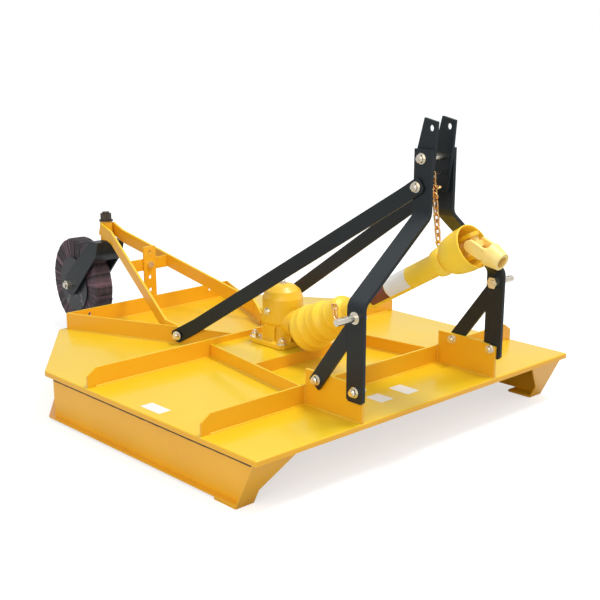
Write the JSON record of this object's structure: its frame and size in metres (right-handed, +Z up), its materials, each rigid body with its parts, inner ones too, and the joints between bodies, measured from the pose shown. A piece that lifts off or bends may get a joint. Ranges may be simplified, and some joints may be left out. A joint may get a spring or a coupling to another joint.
{
  "type": "tractor rotary mower",
  "caption": "Three-point-mounted rotary mower: steel deck with skirts and ribs, A-frame hitch, gearbox, guarded driveline, swinging blades and a caster tail wheel.",
  "frame": {"origin": "on the floor, on the machine's middle plane, under the middle of its overall length", "axes": "+X forward to the tractor, +Y to the machine's left, +Z up"},
  "size_m": [2.5159, 1.49, 1.062],
  "materials": {
    "yellow_paint": "gloss enamel",
    "black_paint": "semi-gloss enamel",
    "gearbox_paint": "gloss enamel over cast iron",
    "guard_plastic": "moulded",
    "zinc_plate": "zinc plated and yellow passivated",
    "bare_steel": "machined, dull",
    "tyre_rubber": "laminated rubber plies",
    "blade_steel": "forged, blackened"
  },
  "bodies": {
    "deck": {"deck_plate": "yellow_paint", "right_side_skirt": "yellow_paint", "left_side_skirt": "yellow_paint", "right_rear_corner_skirt": "yellow_paint", "left_rear_corner_skirt": "yellow_paint", "rear_band": "yellow_paint", "right_front_shoe": "yellow_paint", "left_front_shoe": "yellow_paint", "mid_rib": "yellow_paint", "front_rib": "yellow_paint", "rear_plate": "yellow_paint", "right_diagonal_rib": "yellow_paint", "left_diagonal_rib": "yellow_paint", "right_deck_rail": "yellow_paint", "left_deck_rail": "yellow_paint", "gearbox_platform": "yellow_paint", "right_hitch_lug": "yellow_paint", "left_hitch_lug": "yellow_paint", "gearbox_housing": "gearbox_paint", "right_hitch_leg": "black_paint", "left_hitch_leg": "black_paint", "right_knee_brace": "black_paint", "left_knee_brace": "black_paint", "right_lower_hitch_pin": "zinc_plate", "left_lower_hitch_pin": "zinc_plate", "right_top_link_lug": "black_paint", "left_top_link_lug": "black_paint", "mast_spacer": "zinc_plate", "right_rear_brace": "black_paint", "left_rear_brace": "black_paint", "right_tail_arm": "yellow_paint", "left_tail_arm": "yellow_paint", "swivel_tube": "yellow_paint", "height_strap": "yellow_paint", "arm_cross_bar": "yellow_paint", "height_bolt": "zinc_plate", "gearbox_input_shaft": "bare_steel", "rear_cross": "bare_steel", "drive_shaft": "bare_steel", "rear_driveline_guard": "guard_plastic", "front_driveline_guard": "guard_plastic", "guard_collar": "guard_plastic", "chain_pin": "zinc_plate", "chain": "zinc_plate"},
    "front_cross": {"front_cross": "bare_steel"},
    "coupling_yoke": {"coupling_yoke": "gearbox_paint"},
    "rotor": {"rotor_hub": "blade_steel", "rotor_pan": "blade_steel", "blade_bolt_1": "blade_steel", "blade_bolt_2": "blade_steel"},
    "blade_1": {"blade_1": "blade_steel"},
    "blade_2": {"blade_2": "blade_steel"},
    "caster": {"caster_fork": "black_paint", "caster_spindle": "zinc_plate", "caster_axle": "zinc_plate"},
    "tail_wheel": {"tail_tyre": "tyre_rubber", "tail_wheel_hub": "bare_steel"}
  },
  "joints": [
    {"name": "front_cross_tilt", "type": "hinge", "parent": "deck", "child": "front_cross", "pos_m": [1.15249, 0, 0.70008], "axis": [0.4939, 0, -0.8695], "range_deg": [-30, 30]},
    {"name": "coupling_yoke_tilt", "type": "hinge", "parent": "front_cross", "child": "coupling_yoke", "pos_m": [1.15249, 0, 0.70008], "axis": [0, 1, 0], "range_deg": [-105, 1]},
    {"name": "rotor_spin", "type": "hinge", "parent": "deck", "child": "rotor", "pos_m": [0.30046, 0, 0.2], "axis": [0, 0, 1], "continuous": true},
    {"name": "blade_1_swing", "type": "hinge", "parent": "rotor", "child": "blade_1", "pos_m": [0.30046, 0.23, 0.092], "axis": [0, 0, 1], "range_deg": [-110, 110]},
    {"name": "blade_2_swing", "type": "hinge", "parent": "rotor", "child": "blade_2", "pos_m": [0.30046, -0.23, 0.092], "axis": [0, 0, 1], "range_deg": [-110, 110]},
    {"name": "caster_swivel", "type": "hinge", "parent": "deck", "child": "caster", "pos_m": [-0.81454, 0, 0.475], "axis": [0, 0, 1], "range_deg": [-105.5, 114.5]},
    {"name": "tail_wheel_spin", "type": "hinge", "parent": "caster", "child": "tail_wheel", "pos_m": [-1.05281, 0.01875, 0.203], "axis": [0.0785, 0.9969, 0], "continuous": true}
  ]
}
